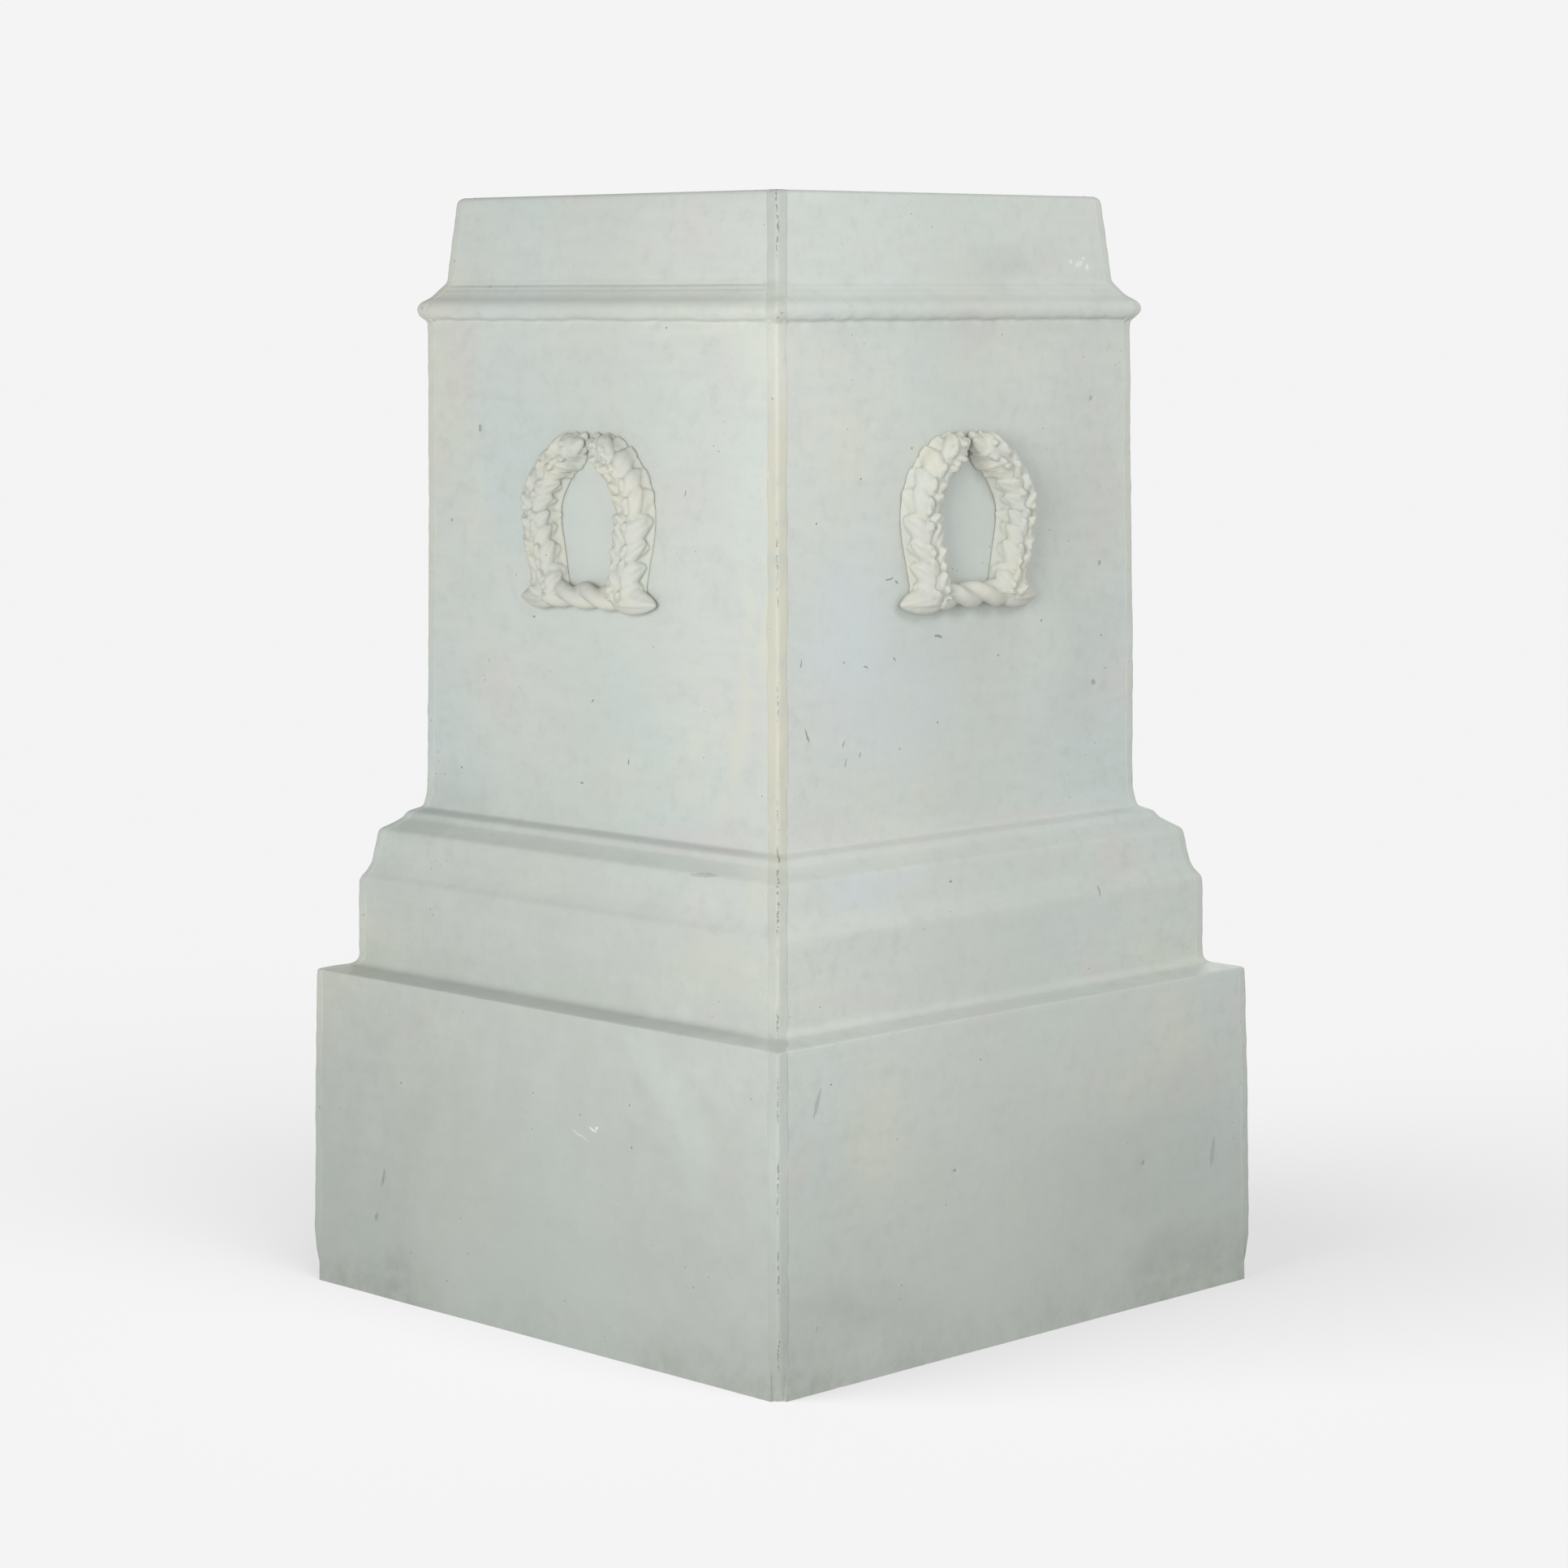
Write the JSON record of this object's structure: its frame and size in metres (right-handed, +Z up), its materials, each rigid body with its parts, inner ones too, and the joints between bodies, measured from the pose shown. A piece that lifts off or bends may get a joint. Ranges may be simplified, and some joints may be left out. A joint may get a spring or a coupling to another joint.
{
  "type": "display pedestal",
  "caption": "Square hollow pedestal with a tall plinth, stepped mouldings, a tapering die with a laurel wreath on each face, a torus and a leaning neck, cast on a hidden timber frame.",
  "frame": {"origin": "centre of the pedestal's footprint, on the floor", "axes": "+Z up along the pedestal's vertical axis, -Y out of the front face, +X out of the right face"},
  "size_m": [0.621, 0.621, 1],
  "materials": {
    "painted_plaster": "cast plaster under matt oil-bound paint, pale grey-green, mottled and pitted",
    "wreath_plaster": "cast plaster ornament under matt paint, a little whiter and warmer, detail softened by paint",
    "corner_stopping": "rubbed-down plaster stopping under paint, pale, yellowed in places",
    "raw_plaster": "unpainted plaster and scrim, rough, off-white",
    "softwood": "planed softwood, unfinished, with plaster dust",
    "plywood": "sanded softwood plywood, unfinished",
    "plated_steel": "yellow zinc-plated steel"
  },
  "bodies": {
    "root": {"panel_front": "painted_plaster", "panel_right": "painted_plaster", "panel_back": "painted_plaster", "panel_left": "painted_plaster", "wreath_front": "wreath_plaster", "wreath_right": "wreath_plaster", "wreath_back": "wreath_plaster", "wreath_left": "wreath_plaster", "corner_strip_front_right": "corner_stopping", "corner_strip_back_right": "corner_stopping", "corner_strip_back_left": "corner_stopping", "corner_strip_front_left": "corner_stopping", "top_slab": "painted_plaster", "top_board": "plywood", "corner_post_front_right": "softwood", "corner_post_back_right": "softwood", "corner_post_back_left": "softwood", "corner_post_front_left": "softwood", "top_rail_front": "softwood", "top_rail_right": "softwood", "top_rail_back": "softwood", "top_rail_left": "softwood", "waist_rail_front": "softwood", "waist_rail_right": "softwood", "waist_rail_back": "softwood", "waist_rail_left": "softwood", "base_rail_front": "softwood", "base_rail_right": "softwood", "base_rail_back": "softwood", "base_rail_left": "softwood", "base_bearer_left": "softwood", "base_bearer_right": "softwood", "plaster_wads_front_right": "raw_plaster", "plaster_wads_back_right": "raw_plaster", "plaster_wads_back_left": "raw_plaster", "plaster_wads_front_left": "raw_plaster", "board_screws": "plated_steel", "frame_screws": "plated_steel", "base_screws": "plated_steel"}
  },
  "joints": []
}
